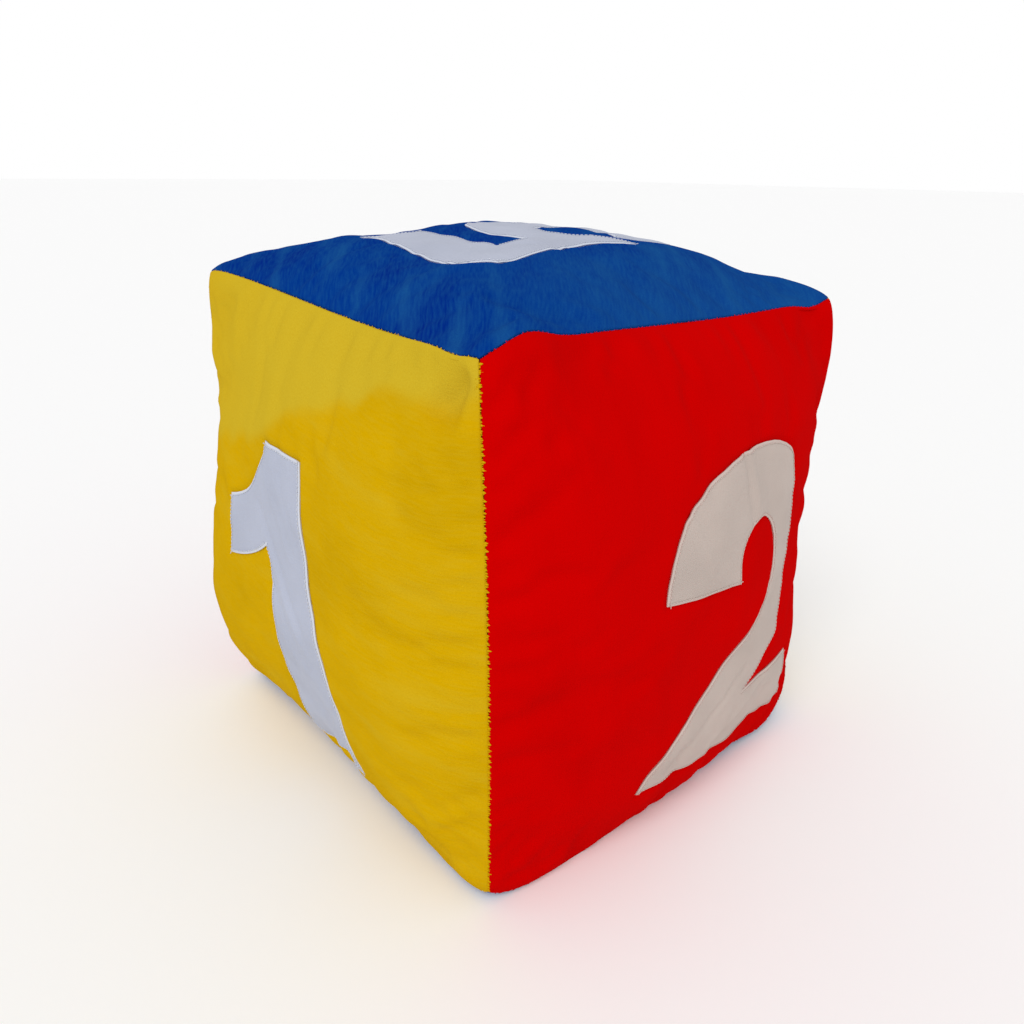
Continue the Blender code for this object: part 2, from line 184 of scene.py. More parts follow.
# the way out, the way right and the way up as the numeral is read, the crown, the plush,
# the numeral and how far the numeral sits right of and above the middle
Face = namedtuple("Face", "out right up crown colour digit shift")
FACES = {
    "front": Face((0, -1, 0), (1, 0, 0), (0, 0, 1), 0.050, "yellow", "1", (-0.012, -0.027)),
    "right": Face((1, 0, 0), (0, 1, 0), (0, 0, 1), 0.050, "red", "2", (0.035, -0.021)),
    "back": Face((0, 1, 0), (-1, 0, 0), (0, 0, 1), 0.050, "yellow", "3", (0, 0)),
    "left": Face((-1, 0, 0), (0, -1, 0), (0, 0, 1), 0.050, "red", "4", (0, 0)),
    "top": Face((0, 0, 1), (-1, 0, 0), (0, -1, 0), 0.050, "blue", "5", (0.000, -0.020)),
    "bottom": Face((0, 0, -1), (1, 0, 0), (0, -1, 0), 0.040, "blue", "6", (0, 0)),
}

# %% How this dice leans and twists, in millimetres
MILLIMETRE = 0.001
# corner of the cube: its shift along x, y and z
CORNER_SHIFTS = {
    (-1, -1, -1): (-9, 2, 2), (-1, -1, 1): (2, 0, 16), (-1, 1, -1): (0, 0, 0),
    (-1, 1, 1): (-15, -8, 12), (1, -1, -1): (4, -1, -2), (1, -1, 1): (0, -6, 4),
    (1, 1, -1): (13, -1, 16), (1, 1, 1): (-12, 15, 2),
}
# axis that the seam runs along and the sides of the cube it lies on, along the two other
# axes: its bow along each of those axes, and its slant along each
SEAM_SHIFTS = {
    (0, -1, -1): (14, 3, -10, 0), (0, -1, 1): (8, -7, 0, -7), (0, 1, 1): (-15, 10, -8, 5),
    (1, -1, 1): (3, 7, 0, 0), (1, 1, -1): (-4, -15, -3, 4), (1, 1, 1): (-7, -5, -4, -8),
    (2, -1, -1): (13, -12, 4, 11), (2, 1, -1): (9, -4, 0, 0), (2, 1, 1): (-17, 15, 8, 9),
}
# bends near a corner: how far along the seam from its middle, how long, and the shift
SEAM_BENDS = {
    (1, 1, 1): [(-0.84, 0.13, (0, 0, 20)), (0.90, 0.14, (0, 0, -22))],
    (0, -1, 1): [(0.90, 0.10, (0, 0, -12))],
    (1, 1, -1): [(0.75, 0.22, (10, 8, -13))],
}
# swells and hollows of a panel: the place of the middle, the width in half edges, the height
SWELLS = {
    "front": [((-0.75, -0.30), 0.55, 11), ((0.50, 0.45), 0.75, 8), ((0.10, -0.85), 0.50, -11),
              ((-0.80, 0.80), 0.35, -4)],
    "right": [((-0.05, 0.62), 0.70, 12.5), ((-0.80, -0.70), 0.45, -6), ((0.90, 0.10), 0.42, -7),
              ((0.50, -0.60), 0.50, 5)],
    "top": [((0.12, 0.15), 0.72, -13), ((-0.10, -0.55), 0.45, -3), ((0.65, 0.42), 0.38, -7.5)],
}
print("shifted corners:", len(CORNER_SHIFTS), "shifted seams:", len(SEAM_SHIFTS))


# %% Corners and seams
def corner_point(corner):
    even = np.array(corner) * (HALF_EDGE, HALF_EDGE, CORNER_HEIGHT / 2)
    return even + np.array(CORNER_SHIFTS[tuple(corner)]) * MILLIMETRE


def seam_bow(run, axis, upper):
    if run == 2:
        return UPRIGHT_SEAM_BOW
    if axis == 2:
        return TOP_SEAM_RISE if upper else BASE_SEAM_DROP
    return TOP_SEAM_BOW if upper else BASE_SEAM_BOW


def seam_line(start, end, along):
    """Points of the seam between two corners of the cube; along runs from -1 to 1."""
    start, end = [int(x) for x in start], [int(x) for x in end]
    run = [axis for axis in range(3) if start[axis] != end[axis]][0]
    sides = [axis for axis in range(3) if axis != run]
    seam = (run, start[sides[0]], start[sides[1]])
    share = (1 + along)[..., None] / 2
    points = corner_point(start) * (1 - share) + corner_point(end) * share
    shifts = SEAM_SHIFTS.get(seam, (0, 0, 0, 0))
    middle = 1 - along ** 2
    for k, axis in enumerate(sides):
        even = seam_bow(run, axis, start[2] > 0) * start[axis]
        own = (shifts[k] + shifts[k + 2] * along * end[run]) * MILLIMETRE
        points[..., axis] += middle * (even + own)
    for place, length, bend in SEAM_BENDS.get(seam, ()):
        near = middle * np.exp(-((along * end[run] - place) / length) ** 2)
        points = points + near[..., None] * np.array(bend) * MILLIMETRE
    return points


print("front right corner of the base:", corner_point((1, -1, -1)) + HEART)


# %% The skin of a panel
def arch(t):
    return (1 - t * t) * (1 + CROWN_FULLNESS * t * t)


def directions(face):
    return [np.array(way) for way in FACES[face][:3]]


def bulge(face, u, v):
    """How far the panel stands out between its seams: its crown and its swells."""
    sag = 1 - SIDE_SAG * v if FACES[face].out[2] == 0 else 1
    height = FACES[face].crown * sag * arch(u) * arch(v)
    free = (1 - u ** SWELL_SHARPNESS) * (1 - v ** SWELL_SHARPNESS)
    for (x, y), width, swell in SWELLS.get(face, ()):
        height = height + free * swell * MILLIMETRE * np.exp(-((u - x) ** 2 + (v - y) ** 2) / width ** 2)
    return height


def skin(face, u, v):
    """Points of a panel's outer skin, measured from the heart; u and v run from -1 to 1."""
    out, right, up = directions(face)

    def corner(s, t):
        return out + right * s + up * t

    u_share, v_share = (1 + u)[..., None] / 2, (1 + v)[..., None] / 2
    points = seam_line(corner(-1, -1), corner(-1, 1), v) * (1 - u_share)
    points = points + seam_line(corner(1, -1), corner(1, 1), v) * u_share
    points = points + seam_line(corner(-1, -1), corner(1, -1), u) * (1 - v_share)
    points = points + seam_line(corner(-1, 1), corner(1, 1), u) * v_share
    low = corner_point(corner(-1, -1)) * (1 - u_share) + corner_point(corner(1, -1)) * u_share
    high = corner_point(corner(-1, 1)) * (1 - u_share) + corner_point(corner(1, 1)) * u_share
    points = points - low * (1 - v_share) - high * v_share
    points = points + out * bulge(face, u, v)[..., None]
    points = points * (1 - CORNER_TUCK * np.abs(u * v) ** CORNER_SHARPNESS)[..., None]
    points[..., 2] = np.maximum(points[..., 2], -FLOOR_DEPTH)
    return points


def skin_normal(face, u, v, step=0.01):
    """The way out of the skin at each place."""
    across = skin(face, u + step, v) - skin(face, u - step, v)
    along = skin(face, u, v + step) - skin(face, u, v - step)
    square = np.cross(across, along)
    return square / np.linalg.norm(square, axis=-1, keepdims=True)


middle_point = skin("front", np.array([0.0]), np.array([0.0]))[0] + HEART
print("middle of the front panel:", middle_point.round(4))

# %% [markdown]
# ## The outlines of the numerals
# A numeral is a piece of cloth cut along an outline and sewn flat to its panel. The outline
# could be a text object, but a hand-cut numeral has its own generous shapes, so each is
# drawn here in a box a hundred parts high. Between two commas stands a point, which a
# straight run goes to, or a curve, as two handles and the point it goes to. The outline also
# decides where the pile of the panel is pressed down, so it comes first.

# %% Numeral outlines
NUMERAL_HEIGHT = 0.270
PARTS = 100  # numerals, folds and creases are drawn in hundredths
CURVE_STEPS = 10
SAME_POINT = 1e-6
PLACING_STEPS = 12
NUMERALS = {
    "1": ["-3 51, 17 50, 19 30 28 10 30 -50, -4 -50, 0 -30 2 5 -2 20, -8 15 -16 11 -27 9, -26 29, "
          "-15 32 -7 38 -3 51"],
    "2": ["-39 15, -39 36 -25 50 3 50, 22 50 35 42 35 27, 35 16 34 0 32 -8, 28 -17 16 -25 5 -31, 38 -31, "
          "43 -52, 20 -54 -10 -49 -40 -50, -32 -32 -12 -18 4 -10, 14 -3 22 10 15 22, 11 29 2 30 -2 24, "
          "-5 19 -4 14 -4 10"],
    "3": ["-36 22, -32 42 -14 50 2 50, 20 50 33 40 33 24, 33 13 30 6 25 2, 32 -3 36 -12 36 -25, "
          "36 -42 24 -50 2 -50, -20 -50 -34 -40 -37 -20, -14 -14, -12 -22 -7 -25 0 -25, "
          "18 -25 18 -10 0 -10, -20 -10, -20 11, 0 11, 17 11 17 28 2 28, -6 28 -11 24 -12 17"],
    "4": ["2 50, 24 50, 24 -8, 37 -8, 37 -27, 24 -27, 24 -50, 1 -50, 1 -27, -39 -27, -39 -10",
          "1 -8, 1 20, -18 -8"],
    "5": ["-35 45, -30 52, -15 49 10 45 36 43, 31 23, 20 25 0 22 -10 24, -8 11, 2 13 9 13 14 12, "
          "31 9 38 -2 38 -17, 38 -38 22 -50 0 -50, -16 -50 -26 -44 -28 -32, -12 -24, "
          "-12 -27 -7 -30 0 -30, 17 -30 17 -6 0 -6, -7 -6 -12 -8 -14 -12, -29 -18, -23 4 -29 26 -35 45"],
    "6": ["36 27, 14 21, 12 28 8 31 2 31, -8 31 -14 22 -15 8, -10 13 -3 15 5 15, 24 15 38 4 38 -17, "
          "38 -38 24 -50 1 -50, -24 -50 -38 -34 -38 -4, -38 26 -26 50 3 50, 19 50 31 42 36 27",
          "0 -2, -10 -2 -14 -9 -14 -17, -14 -27 -8 -33 0 -33, 10 -33 14 -26 14 -17, 14 -8 9 -2 0 -2"],
}


def numeral_loops(digit):
    """The loops of a numeral in metres, each as an array of points."""
    loops = []
    for drawn in NUMERALS[digit]:
        points = []
        for run in drawn.split(","):
            run = np.array(run.split(), float).reshape(-1, 2) / PARTS
            if len(run) == 1:
                points.append(run[0])
                continue
            start, (first, second, end) = points[-1], run
            for t in np.linspace(0, 1, CURVE_STEPS + 1)[1:]:
                points.append(start * (1 - t) ** 3 + first * 3 * t * (1 - t) ** 2
                              + second * 3 * t * t * (1 - t) + end * t ** 3)
        if np.linalg.norm(points[-1] - points[0]) < SAME_POINT:
            points.pop()
        loops.append(np.array(points) * NUMERAL_HEIGHT)
    return loops


def on_drawing(face, u, v):
    """Where places of a panel lie in the drawing of its numeral, in metres."""
    out, right, up = directions(face)
    points = skin(face, u, v)
    return points @ right - FACES[face].shift[0], points @ up - FACES[face].shift[1]


def numeral_place(face, x, y):
    """The places on the panel of points in the drawing, found in a few steps."""
    u, v = x / HALF_EDGE, y / HALF_EDGE
    for _ in range(PLACING_STEPS):
        now_x, now_y = on_drawing(face, u, v)
        u, v = u + (x - now_x) / HALF_EDGE, v + (y - now_y) / HALF_EDGE
    return u, v


def from_line(x, y, start, end):
    """How far places are from the straight line between two points."""
    side = end - start
    share = np.clip(((x - start[0]) * side[0] + (y - start[1]) * side[1]) / (side @ side), 0, 1)
    return np.hypot(x - start[0] - share * side[0], y - start[1] - share * side[1])


def outline_depth(face, u, v):
    """How far each place lies inside the numeral's outline, in metres; below 0 is outside."""
    x, y = on_drawing(face, u, v)
    nearest = np.full(u.shape, np.inf)
    inside = np.zeros(u.shape, bool)
    for loop in numeral_loops(FACES[face].digit):
        for a, b in zip(loop, np.roll(loop, -1, axis=0)):
            nearest = np.minimum(nearest, from_line(x, y, a, b))
            if a[1] != b[1]:
                crossed = (a[1] > y) != (b[1] > y)
                inside ^= crossed & (x < a[0] + (y - a[1]) * (b[0] - a[0]) / (b[1] - a[1]))
    return np.where(inside, nearest, -nearest)


print("points in the outlines:", sum(len(loop) for digit in NUMERALS for loop in numeral_loops(digit)))

# %% [markdown]
# ## Wrinkles from the pressure of the filling
# A tight filling pushes the cover out, and cloth that is cut a little larger than its seams
# answers with long soft wrinkles. They could be drawn by hand, but a cloth simulation runs
# them from seam to seam as real ones do. A closed cube of cloth takes the form of the cover,
# its seams and base are held, and pressure fills it for a few steps. The form has its crown
# already, so the broad swelling is taken out and only the small wrinkles are kept.

# %% Cloth under the pressure of the filling
COVER_CUTS = 39
COVER_FRAMES = 20
# a shrinking below 0 is the ease: the cloth is a little larger than its seams
COVER_CLOTH = {"vertex_group_mass": "seams", "use_pressure": True, "uniform_pressure_force": 4,
               "tension_stiffness": 30, "compression_stiffness": 30, "shrink_min": -0.022, "quality": 6}
ON_SIDE = 0.999  # from here on a place counts as on a side of the cube
BROAD_TERMS = 5  # powers of u and v that make up the broad swelling
LARGEST_MOVE = 0.0026


def vertex_places(obj):
    places = np.empty(len(obj.data.vertices) * 3)
    obj.data.vertices.foreach_get("co", places)
    return places.reshape(-1, 3)


def lay_vertices(obj, points):
    obj.data.vertices.foreach_set("co", np.asarray(points, float).ravel())
    obj.data.update()


def on_cube(points):
    """For points of a cube from -1 to 1: the face each lies on and its place there."""
    outs = np.array([face.out for face in FACES.values()])
    face_index = np.argmax(points @ outs.T, axis=1)
    result = []
    for k, face in enumerate(FACES):
        mine = face_index == k
        out, right, up = directions(face)
        result.append((face, mine, points[mine] @ right, points[mine] @ up))
    return result


def mode(name):
    bpy.ops.object.mode_set(mode=name)


def empty_cube(name, cuts):
    """A finely divided cube from -1 to 1 and the places of its vertices."""
    cube = new_object(bpy.ops.mesh.primitive_cube_add, size=2)
    cube.name = cube.data.name = name
    mode("EDIT")
    bpy.ops.mesh.select_all(action="SELECT")
    bpy.ops.mesh.subdivide(number_cuts=cuts)
    mode("OBJECT")
    return cube, vertex_places(cube)


def press_cover():
    """Push the cover out from inside, its seams held, and measure each face's wrinkles."""
    cover, flat = empty_cube("pressed_cover", COVER_CUTS)
    cover_shape = np.zeros_like(flat)
    faces = on_cube(flat)
    for face, mine, u, v in faces:
        cover_shape[mine] = skin(face, u, v) + HEART
    lay_vertices(cover, cover_shape)
    on_seam = (np.abs(flat) > ON_SIDE).sum(axis=1) > 1
    held = cover.vertex_groups.new(name="seams")
    held.add([int(index) for index in np.nonzero(on_seam | (flat[:, 2] < -ON_SIDE))[0]], 1.0, "REPLACE")
    cloth = cover.modifiers.new("Cloth", "CLOTH")
    cloth.settings.effector_weights.gravity = 0
    for name, value in COVER_CLOTH.items():
        setattr(cloth.settings, name, value)
    for moment in range(1, COVER_FRAMES + 1):
        bpy.context.scene.frame_set(moment)
    bpy.ops.object.modifier_apply(modifier="Cloth")
    bpy.context.scene.frame_set(1)
    moved = vertex_places(cover) - cover_shape
    cells = COVER_CUTS + 1
    powers = [(a, b) for a in range(BROAD_TERMS) for b in range(BROAD_TERMS - a)]
    wrinkles = {}
    for face, mine, u, v in faces:
        swell = (moved[mine] * skin_normal(face, u, v)).sum(axis=1)
        broad = np.stack([arch(u) * arch(v) * u ** a * v ** b for a, b in powers], axis=1)
        swell = swell - broad @ np.linalg.lstsq(broad, swell, rcond=None)[0]
        grid = np.zeros((cells + 1, cells + 1))
        columns, rows = [np.rint((place + 1) / 2 * cells).astype(int) for place in (u, v)]
        grid[columns, rows] = np.tanh(swell / LARGEST_MOVE) * LARGEST_MOVE
        wrinkles[face] = grid
    bpy.data.objects.remove(cover, do_unlink=True)
    return wrinkles


WRINKLES = press_cover()
print("wrinkles in millimetres:",
      {face: (round(grid.min() * 1000, 1), round(grid.max() * 1000, 1)) for face, grid in WRINKLES.items()})


def cubic_weights(t):
    return ((-t + 2 * t * t - t ** 3) / 2, (2 - 5 * t * t + 3 * t ** 3) / 2,
            (t + 4 * t * t - 3 * t ** 3) / 2, (t ** 3 - t * t) / 2)


def wrinkle(face, u, v):
    """The height of the simulated wrinkles, smoothly between the points of the grid."""
    height = np.zeros(u.shape)
    if face not in WRINKLES:
        return height
    grid = np.pad(WRINKLES[face], 1, mode="edge")
    cells = len(WRINKLES[face]) - 1
    across, along = np.clip((u + 1) / 2, 0, 1) * cells, np.clip((v + 1) / 2, 0, 1) * cells
    column, row = np.minimum(across.astype(int), cells - 1), np.minimum(along.astype(int), cells - 1)
    for i, weight in enumerate(cubic_weights(across - column)):
        for j, other_weight in enumerate(cubic_weights(along - row)):
            height += weight * other_weight * grid[column + i, row + j]
    return height


# %% [markdown]
# ## Lumps, puckers, folds and pressed pile
# A stuffed panel is never even. The fibre packs into soft lumps, the stitches gather the
# cloth into short puckers beside each seam, slack cloth lies in a few folds, and the pile is
# pressed down under the numeral. All of it is a height above the smooth skin, so one
# function adds it up: smooth noise for the lumps, noise that changes fast along the seam and
# fades away from it for the puckers, and a listed ridge or hollow for each fold.

# %% Relief of a panel
LUMPS = (0.095, 3.1, 0.0048)  # the size, the seed and the height of a noise
RIPPLES = (0.030, 8.7, 0.0018)
PUCKER_HEIGHT = 0.0013
PUCKER_PITCH = 0.021
PUCKER_REACH = 0.032
PUCKER_SEED = 11.3
PUCKER_SEED_STEP = 2.7  # from one face to the next
PUCKER_SEED_TURN = 5.1  # from the two side seams of a face to the two others
SIDE_GAP = 0.3  # keeps the noise of opposite seams apart
INWARD_STRETCH = 0.25  # below 1 a pucker is longer than it is wide
SEAM_HOLD = 0.010  # right beside the seam the stitches hold the cloth down
SEAT_DEPTH = 0.0024
SEAT_BANK = 0.005
# each fold of a panel: its two ends in hundredths of the half edge, and its width and its
# height in tenths of a millimetre; below 0 is a hollow
TENTHS = 10000
FOLDS = {
    "front": [((93, 92), (84, 85), 130, -90), ((98, 95), (94, 98), 70, 50), ((35, 30), (95, 22), 180, 16),
              ((30, 8), (90, -2), 160, -14), ((45, -10), (98, -22), 200, 20),
              ((40, -42), (95, -50), 180, -18), ((10, 45), (80, 60), 200, -15),
              ((-70, 55), (-30, 62), 200, -20)],
    "top": [((-47, 56), (-40, 86), 160, 24), ((-62, 50), (-75, 90), 180, -18),
            ((-70, 20), (-95, 40), 180, 18), ((-75, -20), (-98, -25), 200, -16),
            ((30, 70), (20, 98), 180, -14)],
    "right": [((-95, 60), (-55, 45), 200, 16), ((-98, -10), (-50, -25), 220, -16),
              ((-50, 80), (10, 90), 200, -14), ((-80, -60), (-30, -80), 220, 22)],
}


def ridge(x, y, start, end, width):
    """1 along the line between two points, fading to 0 beside it."""
    return np.exp(-(from_line(x, y, start, end) / width) ** 2)


def soft_step(values):
    """0 below 0, 1 above 1, and smooth between."""
    values = np.clip(values, 0, 1)
    return values * values * (3 - 2 * values)


def smooth_noise(points, size, seed, height=1):
    """Noise between about -height and height at each point."""
    flat = points.reshape(-1, 3) / size + seed
    values = [noise.noise(Vector(point)) for point in flat]
    return np.array(values).reshape(points.shape[:-1]) * height


def flat_points(x, y):
    return np.stack([x, y, 0 * x], -1)


def seam_gap(u, v):
    """How far a place is from the nearest seam of its panel."""
    return (1 - np.maximum(np.abs(u), np.abs(v))) * HALF_EDGE


def relief(face, u, v):
    """How far the dressed panel stands above its smooth skin."""
    points = skin(face, u, v)
    lumps, ripples = smooth_noise(points, *LUMPS), smooth_noise(points, *RIPPLES)
    puckers = np.zeros(u.shape)
    for across, along, side in ((u, v, 1), (u, v, -1), (v, u, 1), (v, u, -1)):
        gap = (1 - side * across) * HALF_EDGE
        strip = flat_points(along * HALF_EDGE, side * SIDE_GAP + gap * INWARD_STRETCH)
        seed = PUCKER_SEED + PUCKER_SEED_STEP * list(FACES).index(face)
        seed += PUCKER_SEED_TURN if across is v else 0
        puckers += smooth_noise(strip, PUCKER_PITCH, seed) * np.exp(-gap / PUCKER_REACH) * PUCKER_HEIGHT
    hold = 1 - np.exp(-np.maximum(seam_gap(u, v), 0) / SEAM_HOLD)
    for start, end, width, height in FOLDS.get(face, ()):
        start, end = np.array(start) / PARTS, np.array(end) / PARTS
        lumps = lumps + height / TENTHS * ridge(u, v, start, end, width / TENTHS / HALF_EDGE)
    seat = soft_step((outline_depth(face, u, v) + SEAT_BANK) / SEAT_BANK)
    height = (lumps + ripples + puckers) * hold + wrinkle(face, u, v)
    if face == "bottom":
        height = np.minimum(height, 0)
    return height - SEAT_DEPTH * seat


def dressed(face, u, v, height=0.0):
    """Points at a height above the dressed panel, in the frame of the dice."""
    points = skin(face, u, v)
    points = points + skin_normal(face, u, v) * (relief(face, u, v) + height)[..., None]
    return points + directions(face)[0] * PANEL_LIFT + HEART


probe = relief("front", np.linspace(-1, 1, 9), np.zeros(9))
print("relief across the front panel in mm:", (probe * 1000).round(1))

# %% [markdown]
# ## The plush
# Plush is a knitted backing with a short pile. From a metre away its soft colour is lighter
# where the pile stands up from brushing and catches the light, and darker where it lies towards
# you, with a fine nap instead of a shine. The pile could be made of hairs, but they would be
# finer than a pixel. So the nap is in the material: long soft streaks, fine hairs and a grain,
# and the lighter bands where the pile stands up are painted sheen.

# %% Node helpers
def mix_colours(tree, amount, first, second):
    """A Mix node for two colours or sockets."""
    mix = add_node(tree, "ShaderNodeMix", data_type="RGBA")
    for socket, value in ((mix.inputs[0], amount), (mix.inputs[6], first), (mix.inputs[7], second)):
        if isinstance(value, bpy.types.NodeSocket):
            tree.links.new(value, socket)
        else:
            socket.default_value = value
    return mix.outputs[2]


def spread(tree, socket, low, high, new_low=0.0, new_high=1.0):
    """A value stretched from one range to another and kept inside it."""
    ranges = {"From Min": low, "From Max": high, "To Min": new_low, "To Max": new_high}
    ranged = add_node(tree, "ShaderNodeMapRange", **ranges)
    tree.links.new(socket, ranged.inputs["Value"])
    return ranged.outputs[0]


def noise_field(tree, place, stretch, detail):
    """Noise on a place socket, with as many cells in a metre along each axis as stretch says."""
    mapping = add_node(tree, "ShaderNodeMapping", Scale=stretch)
    tree.links.new(place, mapping.inputs["Vector"])
    field = add_node(tree, "ShaderNodeTexNoise", Scale=1.0, Detail=detail)
    tree.links.new(mapping.outputs[0], field.inputs["Vector"])
    return field.outputs["Fac"]


def raised(tree, height, strength, distance, below=None):
    """The normal of a surface raised by a height socket, over another such normal or none."""
    bump = add_node(tree, "ShaderNodeBump", Strength=strength, Distance=distance)
    tree.links.new(height, bump.inputs["Height"])
    if below is not None:
        tree.links.new(below, bump.inputs["Normal"])
    return bump.outputs[0]


def dye(tree, shader, colour, normal):
    tree.links.new(colour, shader.inputs["Base Color"])
    tree.links.new(normal, shader.inputs["Normal"])


def cloudy(name, dark, light, cells, detail, strength, distance, roughness):
    """A matt material whose colour and bump come from one cloud of noise."""
    material, tree, shader = start_material(name, {"Roughness": roughness})
    place = add_node(tree, "ShaderNodeTexCoord").outputs["Object"]
    cloud = noise_field(tree, place, (cells, cells, cells), detail)
    dye(tree, shader, mix_colours(tree, cloud, dark, light), raised(tree, cloud, strength, distance))
    return material


# %% Plush material
STREAKS = ((9, 46, 1), 4.0)  # cells in a metre along and across the brushing, and detail
HAIRS = ((90, 520, 1), 3.0)
PATCHES = ((9, 7, 1), 3.0)
GRAIN = ((700, 700, 1), 2.0)
PATCH_RANGE = (0.30, 0.52)  # the part of each noise over which the colour changes
LIGHT_STREAKS = (0.50, 0.72)
DARK_STREAKS = (0.28, 0.45)
LIGHT_HAIRS = (0.35, 0.70)
DARK_GRAIN = (0.30, 0.70)
HAIR_SHARE = 0.6  # of the streaks' strength
GRAIN_SHARE = 0.22
GRAIN_BUMP = (0.30, 0.0010)  # strength and distance
HAIR_BUMP = (0.18, 0.0014)
PILE_FINISH = {"Roughness": 1, "Specular IOR Level": 0.0, "Sheen Weight": 0.004, "Sheen Roughness": 0.5}


def plush(name, dark, base, light, streak_turn, streak_share, patch_share):
    """Short pile: soft streaks along the brushing, painted sheen, and a grain as fine as the tufts."""
    material, tree, shader = start_material(name, PILE_FINISH)
    place = add_node(tree, "ShaderNodeUVMap", uv_map="nap").outputs[0]
    turned = add_node(tree, "ShaderNodeMapping", Rotation=(0, 0, streak_turn))
    tree.links.new(place, turned.inputs["Vector"])
    streaks, hairs = [noise_field(tree, turned.outputs[0], *spec) for spec in (STREAKS, HAIRS)]
    patches, grain = [noise_field(tree, place, *spec) for spec in (PATCHES, GRAIN)]
    colour = base
    for amount, other in (
            (spread(tree, patches, *PATCH_RANGE, patch_share, 0.0), dark),
            (spread(tree, streaks, *LIGHT_STREAKS, 0.0, streak_share), light),
            (spread(tree, streaks, *DARK_STREAKS, streak_share, 0.0), dark),
            # painted sheen: the pile turns towards its light colour where it stands up from brushing
            (add_node(tree, "ShaderNodeAttribute", attribute_name="brushed_sheen").outputs["Fac"], light),
            (spread(tree, hairs, *LIGHT_HAIRS, 0.0, streak_share * HAIR_SHARE), light),
            (spread(tree, grain, *DARK_GRAIN, GRAIN_SHARE, 0.0), dark)):
        colour = mix_colours(tree, amount, colour, other)
    dye(tree, shader, colour, raised(tree, hairs, *HAIR_BUMP, below=raised(tree, grain, *GRAIN_BUMP)))
    return material


# the light colour of each pile serves its lighter streaks and hairs and its painted sheen
PLUSHES = {
    "yellow": plush("yellow_pile", (0.50, 0.29, 0.0004, 1), (0.64, 0.375, 0.0004, 1),
                    (0.60, 0.435, 0.026, 1), 0.12, 0.34, 0.6),
    "red": plush("red_pile", (0.50, 0.0002, 0.0002, 1), (0.60, 0.0002, 0.0003, 1),
                 (0.63, 0.0004, 0.0006, 1), 1.5, 0.25, 0.5),
    "blue": plush("blue_pile", (0.0003, 0.016, 0.205, 1), (0.0004, 0.036, 0.245, 1),
                  (0.010, 0.095, 0.285, 1), 0.72, 0.75, 1.0),
}
print("plush in", len(PLUSHES), "colours")

# %% [markdown]
# ## The six panels
# A panel is a square of plush whose border rolls over the seam, with 12 mm of raw edge
# turned inside. It starts as a flat grid. Each vertex is laid on the dressed form, the
# outermost lines are rolled in and sent towards the heart, and Solidify gives the cloth its
# 3 mm of backing and pile. Each panel could be a simulated cloth of its own, but two panels
# have to meet to a hair, so only the wrinkles are simulated and the form gives the places.

# %% Lines of the grid
EVEN_LINES = 175
SEAM_ALLOWANCE = 0.012
SEAM_ROLL = 0.0018
ROLL_STEPS = 4
PLUSH_THICKNESS = 0.003
roll_share = SEAM_ROLL / HALF_EDGE
even = [(place, 0.0) for place in np.linspace(roll_share - 1, 1 - roll_share, EVEN_LINES)]
rolled = []
for step in range(1, ROLL_STEPS + 1):
    angle = math.pi / 2 * step / ROLL_STEPS
    rolled.append((1 - roll_share * (1 - math.sin(angle)), SEAM_ROLL * (1 - math.cos(angle))))
rolled += [(1.0, SEAM_ROLL + (SEAM_ALLOWANCE - SEAM_ROLL) * share) for share in (0.5, 1.0)]
cloth_lines = np.array([(-place, sink) for place, sink in reversed(rolled)] + even + rolled)
line_places, line_sinks = cloth_lines.T
print("lines across a panel:", len(cloth_lines))

# %% Pile that stands up, with painted sheen
# the pile of the front is combed up above a line that climbs to the right, and painted lighter
# there as sheen: places and heights along that line
FRONT_LINE = ((-1.0, -0.5, -0.12, 0.35, 0.73, 1.0), (0.30, 0.42, 0.55, 0.78, 0.85, 0.89))
FRONT_BLUR = 0.08
FRONT_SHARE = 0.85
FRONT_LEFT_SHARE = 0.6  # of that share, just past the left seam
FRONT_LEFT_END = 1.2  # where that is, in half edges left of the middle
RAGGED = (0.16, 4.4, 0.05)
# the pile of the top is combed up from a ragged line towards the red side, and less towards the
# front, and painted lighter there as sheen
TOP_LINE = -0.25
TOP_BLUR = 0.7
TOP_SHARE = 0.45
TOP_FRONT = 0.9
TOP_FRONT_BLUR = 0.8
TOP_RAGGED = 3


def brushed_sheen(face, u, v):
    """How much the pile is painted lighter as sheen where it stands up from brushing, from 0 to 1."""
    ragged = smooth_noise(flat_points(u, v), *RAGGED)
    if face == "front":
        band = soft_step((v - np.interp(u, *FRONT_LINE) + ragged + FRONT_BLUR / 2) / FRONT_BLUR)
        fade = FRONT_LEFT_SHARE + (1 - FRONT_LEFT_SHARE) * soft_step(u + FRONT_LEFT_END)
        return FRONT_SHARE * band * fade
    if face == "top":
        band = soft_step((TOP_LINE - u + ragged * TOP_RAGGED) / TOP_BLUR)
        return TOP_SHARE * band * soft_step((TOP_FRONT - v) / TOP_FRONT_BLUR)
    return np.zeros(u.shape)


print("brushed at the top of the front:", brushed_sheen("front", np.zeros(1), np.ones(1)))


# %% Sew a panel
def to_heart(points, distance):
    """Points in the frame of the dice moved straight towards its heart."""
    ray = points - HEART
    return points - ray * (distance / np.linalg.norm(ray, axis=-1))[..., None]


def grid_order(obj, lines):
    """For each vertex of a fresh grid, its line along x and its line along y."""
    flat = vertex_places(obj)
    return [np.rint((flat[:, axis] + 1) / 2 * (lines - 1)).astype(int) for axis in (0, 1)]


def select_only(obj):
    bpy.ops.object.select_all(action="DESELECT")
    obj.select_set(True)
    bpy.context.view_layer.objects.active = obj


def write_map(obj, layer, flat):
    """Put the flat place of each vertex into a map for the material."""
    corners = np.empty(len(obj.data.loops), int)
    obj.data.loops.foreach_get("vertex_index", corners)
    layer.data.foreach_set("uv", flat[corners].ravel())


def write_values(obj, name, values):
    obj.data.attributes.new(name, "FLOAT", "POINT").data.foreach_set("value", values)


